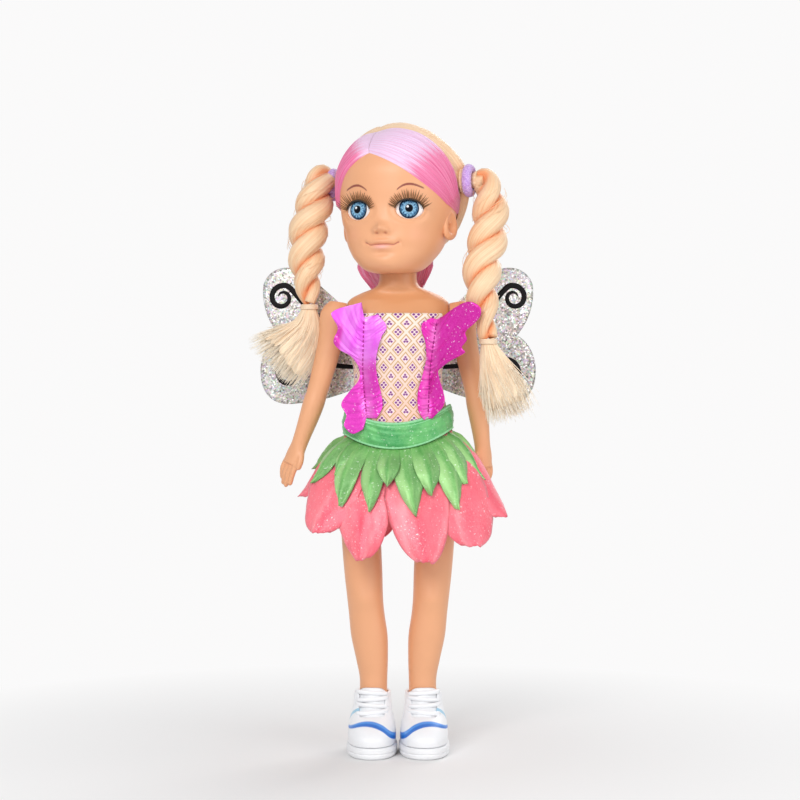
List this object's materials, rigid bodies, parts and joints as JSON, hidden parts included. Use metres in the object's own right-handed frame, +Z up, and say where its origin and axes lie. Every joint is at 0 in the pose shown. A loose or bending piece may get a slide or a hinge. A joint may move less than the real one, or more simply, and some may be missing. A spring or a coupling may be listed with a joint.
{
  "type": "fairy fashion doll",
  "caption": "Standing vinyl fashion doll with jointed head, arms and legs, twisted pigtails, printed bodice, petal skirt, film wings and sneakers.",
  "frame": {"origin": "bottom centre of the doll's box, on the plane of the soles", "axes": "+Z up from the soles to the crown, -Y the way the chest and toes face, +X to the doll's own left"},
  "size_m": [0.1918, 0.1001, 0.4184],
  "materials": {
    "vinyl_skin": "satin",
    "eye_white": "gloss",
    "iris_blue": "gloss",
    "lash_brown": "matte",
    "hair_blonde": "satin",
    "hair_pink": "satin",
    "terry_lavender": "matte",
    "elastic": "matte",
    "plug_vinyl": "matte",
    "bodice_print": "matte",
    "hook_tape": "matte",
    "magenta_film": "metallic",
    "green_satin": "satin",
    "pink_satin": "satin",
    "wing_film": "metallic",
    "shoe_vinyl": "satin",
    "shoe_sole": "matte"
  },
  "bodies": {
    "torso": {"torso_front": "vinyl_skin", "torso_back": "vinyl_skin", "neck_plug": "plug_vinyl", "bodice": "bodice_print", "bodice_closure": "hook_tape", "waistband": "green_satin", "petal_layer": "pink_satin", "leaf_layer": "green_satin", "butterfly_left": "magenta_film", "wing_left": "wing_film", "butterfly_right": "magenta_film", "wing_right": "wing_film", "wing_band": "hook_tape"},
    "head": {"head_shell": "vinyl_skin", "eye_white_left": "eye_white", "iris_left": "iris_blue", "lashes_left": "lash_brown", "eye_white_right": "eye_white", "iris_right": "iris_blue", "lashes_right": "lash_brown", "hair_cap": "hair_blonde", "fringe_left": "hair_pink", "fringe_right": "hair_pink", "nape_lock": "hair_pink", "hair_tie_left": "terry_lavender", "twist_left": "hair_blonde", "tail_tie_left": "elastic", "tail_left": "hair_blonde", "hair_tie_right": "terry_lavender", "twist_right": "hair_blonde", "tail_tie_right": "elastic", "tail_right": "hair_blonde"},
    "arm_left": {"arm_left": "vinyl_skin"},
    "arm_right": {"arm_right": "vinyl_skin"},
    "leg_left": {"leg_left": "vinyl_skin", "shoe_upper_left": "shoe_vinyl", "shoe_tongue_left": "shoe_vinyl", "shoe_sole_left": "shoe_sole"},
    "leg_right": {"leg_right": "vinyl_skin", "shoe_upper_right": "shoe_vinyl", "shoe_tongue_right": "shoe_vinyl", "shoe_sole_right": "shoe_sole"}
  },
  "joints": [
    {"name": "head_turn", "type": "hinge", "parent": "torso", "child": "head", "pos_m": [0.00139, -0.00293, 0.324], "axis": [0, 0, 1], "range_deg": [-50, 80], "deforming": ["twist_left", "tail_tie_left", "tail_left", "twist_right", "tail_tie_right", "tail_right"]},
    {"name": "shoulder_left", "type": "hinge", "parent": "torso", "child": "arm_left", "pos_m": [0.03539, -0.00293, 0.29], "axis": [-1, 0, 0], "range_deg": [-12, 150], "deforming": ["butterfly_left"]},
    {"name": "shoulder_right", "type": "hinge", "parent": "torso", "child": "arm_right", "pos_m": [-0.03261, -0.00293, 0.29], "axis": [-1, 0, 0], "range_deg": [-12, 150], "deforming": ["butterfly_right"]},
    {"name": "hip_left", "type": "hinge", "parent": "torso", "child": "leg_left", "pos_m": [0.01239, -0.00293, 0.186], "axis": [-1, 0, 0], "range_deg": [-20, 90], "deforming": ["petal_layer", "leaf_layer"]},
    {"name": "hip_right", "type": "hinge", "parent": "torso", "child": "leg_right", "pos_m": [-0.00961, -0.00293, 0.186], "axis": [-1, 0, 0], "range_deg": [-20, 90]}
  ]
}
